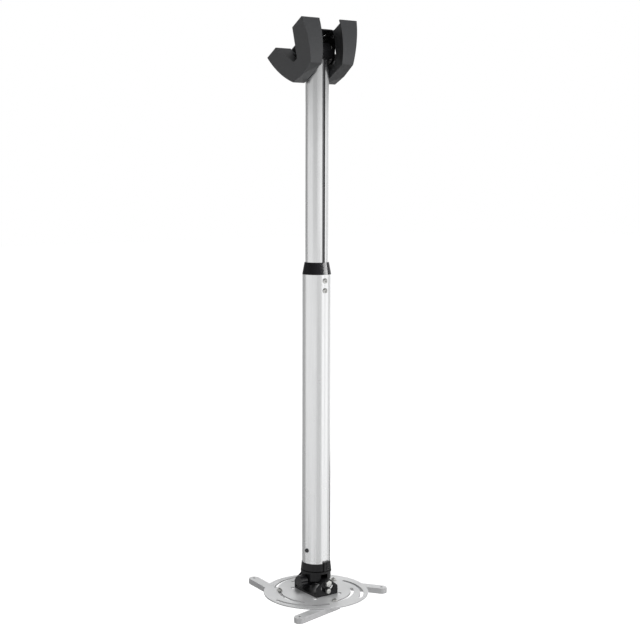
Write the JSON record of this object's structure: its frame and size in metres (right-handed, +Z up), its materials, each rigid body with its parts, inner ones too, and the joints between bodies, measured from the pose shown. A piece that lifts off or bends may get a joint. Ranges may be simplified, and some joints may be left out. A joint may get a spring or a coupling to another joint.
{
  "type": "projector ceiling mount",
  "caption": "Telescopic pole mount for a projector: tilting ceiling bracket with two cover halves, two tubes, a two-axis head and a slotted disc with swinging arms.",
  "frame": {"origin": "centre of the ceiling bracket's face, on the ceiling", "axes": "+Z up along the plumb pole; +Y along the tilt hinge; the ceiling rises towards +X by 30 degrees"},
  "size_m": [0.2807, 0.2717, 1.214],
  "materials": {
    "cover_plastic": "dark grey moulded plastic, fine satin grain",
    "black_coat": "black powder coat, semi-gloss",
    "tube_aluminium": "satin anodised, fine lengthways drawing lines",
    "ring_plastic": "glossy black moulding",
    "silver_coat": "silver powder coat, satin",
    "zinc_steel": "bright zinc plating",
    "black_steel": "black oxide",
    "knob_plastic": "black moulded plastic",
    "bush_plastic": "pale low-friction plastic"
  },
  "bodies": {
    "root": {"ceiling_bracket": "black_coat", "front_cover": "cover_plastic", "rear_cover": "cover_plastic", "cover_screws": "black_steel", "pivot_bolt": "zinc_steel", "pivot_nut": "zinc_steel", "pivot_washers": "zinc_steel", "friction_washers": "bush_plastic"},
    "upper_pole": {"pole_head": "black_coat", "head_screws": "black_steel", "lock_bolt": "zinc_steel", "lock_nut": "zinc_steel", "lock_washers": "zinc_steel", "upper_tube": "tube_aluminium", "slide_bush": "bush_plastic"},
    "lower_pole": {"lower_tube": "tube_aluminium", "guide_ring": "ring_plastic", "clamp_screws": "zinc_steel", "end_collar": "black_coat", "collar_screws": "black_steel", "tube_set_screws": "black_steel"},
    "swivel_head": {"swivel_yoke": "black_coat", "swivel_washer": "zinc_steel", "swivel_nut": "zinc_steel", "tilt_bolt": "zinc_steel", "tilt_washers": "black_steel", "tilt_knob": "knob_plastic"},
    "tilt_cross": {"cross_block": "black_coat", "roll_bolts": "zinc_steel", "roll_lock_bolts": "zinc_steel", "roll_washers": "black_steel"},
    "projector_plate": {"plate_bracket": "black_coat", "interface_disc": "silver_coat", "plate_rivets": "black_steel"},
    "arm_carriage_1": {"arm_screw_1": "zinc_steel", "arm_washer_1": "zinc_steel", "arm_nut_1": "zinc_steel"},
    "projector_arm_1": {"arm_1": "silver_coat"},
    "arm_carriage_2": {"arm_screw_2": "zinc_steel", "arm_washer_2": "zinc_steel", "arm_nut_2": "zinc_steel"},
    "projector_arm_2": {"arm_2": "silver_coat"},
    "arm_carriage_3": {"arm_screw_3": "zinc_steel", "arm_washer_3": "zinc_steel", "arm_nut_3": "zinc_steel"},
    "projector_arm_3": {"arm_3": "silver_coat"}
  },
  "joints": [
    {"name": "pole_tilt", "type": "hinge", "parent": "root", "child": "upper_pole", "pos_m": [0.02, 0, -0.03464], "axis": [0, 1, 0], "range_deg": [-90, 30]},
    {"name": "pole_telescope", "type": "slide", "parent": "upper_pole", "child": "lower_pole", "axis": [0, 0, -1], "range_m": [-0.32, 0.178]},
    {"name": "head_swivel", "type": "hinge", "parent": "lower_pole", "child": "swivel_head", "pos_m": [0.02, 0, -1.13464], "axis": [0, 0, 1], "continuous": true},
    {"name": "head_tilt", "type": "hinge", "parent": "swivel_head", "child": "tilt_cross", "pos_m": [0.02, 0, -1.13464], "axis": [0, 1, 0], "range_deg": [-15, 15]},
    {"name": "head_roll", "type": "hinge", "parent": "tilt_cross", "child": "projector_plate", "pos_m": [0.02, 0, -1.13464], "axis": [1, 0, 0], "range_deg": [-15, 15]},
    {"name": "carriage_1_along_slot", "type": "hinge", "parent": "projector_plate", "child": "arm_carriage_1", "pos_m": [0.02, 0, -1.16264], "axis": [0, 0, 1], "range_deg": [0, 70]},
    {"name": "arm_1_swing", "type": "hinge", "parent": "arm_carriage_1", "child": "projector_arm_1", "pos_m": [0.09778, -0.00585, -1.16264], "axis": [0, 0, 1], "range_deg": [-14, 40]},
    {"name": "carriage_2_along_slot", "type": "hinge", "parent": "projector_plate", "child": "arm_carriage_2", "pos_m": [0.02, 0, -1.16264], "axis": [0, 0, 1], "range_deg": [0, 70]},
    {"name": "arm_2_swing", "type": "hinge", "parent": "arm_carriage_2", "child": "projector_arm_2", "pos_m": [-0.01383, 0.07028, -1.16264], "axis": [0, 0, 1], "range_deg": [-7, 47]},
    {"name": "carriage_3_along_slot", "type": "hinge", "parent": "projector_plate", "child": "arm_carriage_3", "pos_m": [0.02, 0, -1.16264], "axis": [0, 0, 1], "range_deg": [0, 70]},
    {"name": "arm_3_swing", "type": "hinge", "parent": "arm_carriage_3", "child": "projector_arm_3", "pos_m": [-0.02396, -0.06444, -1.16264], "axis": [0, 0, 1], "range_deg": [-28, 26]}
  ]
}
